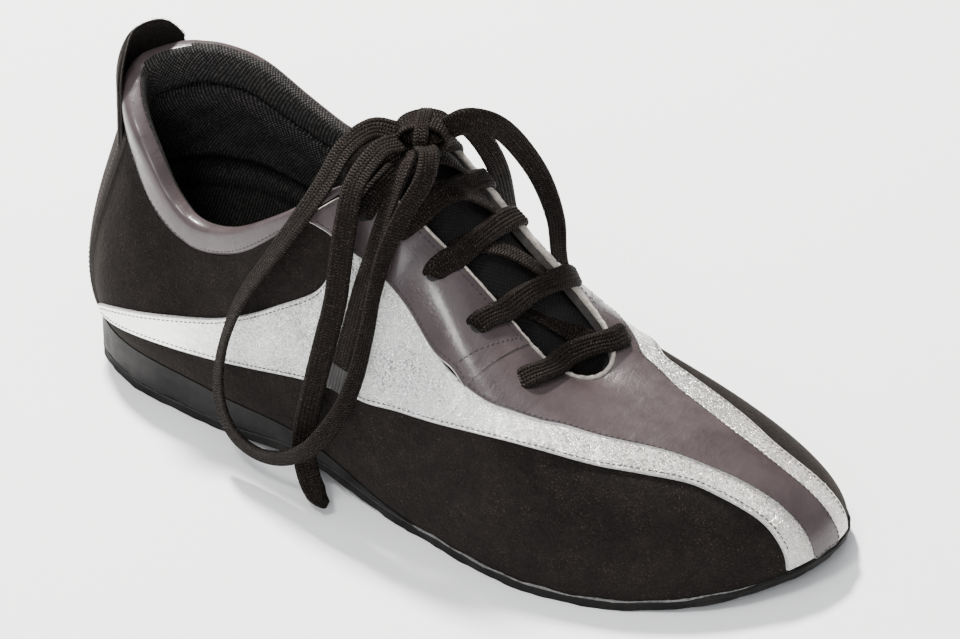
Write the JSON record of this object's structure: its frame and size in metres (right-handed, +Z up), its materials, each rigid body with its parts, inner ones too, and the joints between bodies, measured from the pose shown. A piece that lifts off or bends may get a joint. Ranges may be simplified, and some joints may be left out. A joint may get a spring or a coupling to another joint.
{
  "type": "dance sneaker",
  "caption": "Low laced dance sneaker for the right foot: suede upper with smooth and metallic leather overlays, padded collar, pull tab, thin rubber sole and wedge heel.",
  "frame": {"origin": "on the floor under the middle of the heel, at the heel's flat seat", "axes": "+X towards the toe, +Y towards the inner side of the right foot, +Z up"},
  "size_m": [0.2893, 0.1105, 0.1294],
  "materials": {
    "black_suede": "suede nap, matt",
    "plum_leather": "smooth, semi-gloss",
    "silver_leather": "metallic, fine crinkle",
    "black_mesh": "padded spacer mesh",
    "black_lace": "woven flat lace, matt",
    "black_footbed": "woven, matt",
    "grey_rubber": "smooth, satin"
  },
  "bodies": {
    "root": {"outsole": "grey_rubber", "heel_wedge": "grey_rubber", "insole": "black_footbed", "upper": "black_suede", "silver_panel_outer": "silver_leather", "silver_panel_inner": "silver_leather", "eyestay_outer": "plum_leather", "eyestay_inner": "plum_leather", "vamp_strip": "plum_leather", "heel_counter": "black_suede", "collar": "plum_leather", "heel_tab": "black_suede", "tongue": "black_mesh", "lace_bar_1": "black_lace", "lace_bar_2": "black_lace", "lace_bar_3": "black_lace", "lace_bar_4": "black_lace", "lace_bar_5": "black_lace", "lace_knot": "black_lace", "lace_loop_outer": "black_lace", "lace_loop_inner": "black_lace", "lace_end_long": "black_lace", "lace_end_short": "black_lace"}
  },
  "joints": []
}
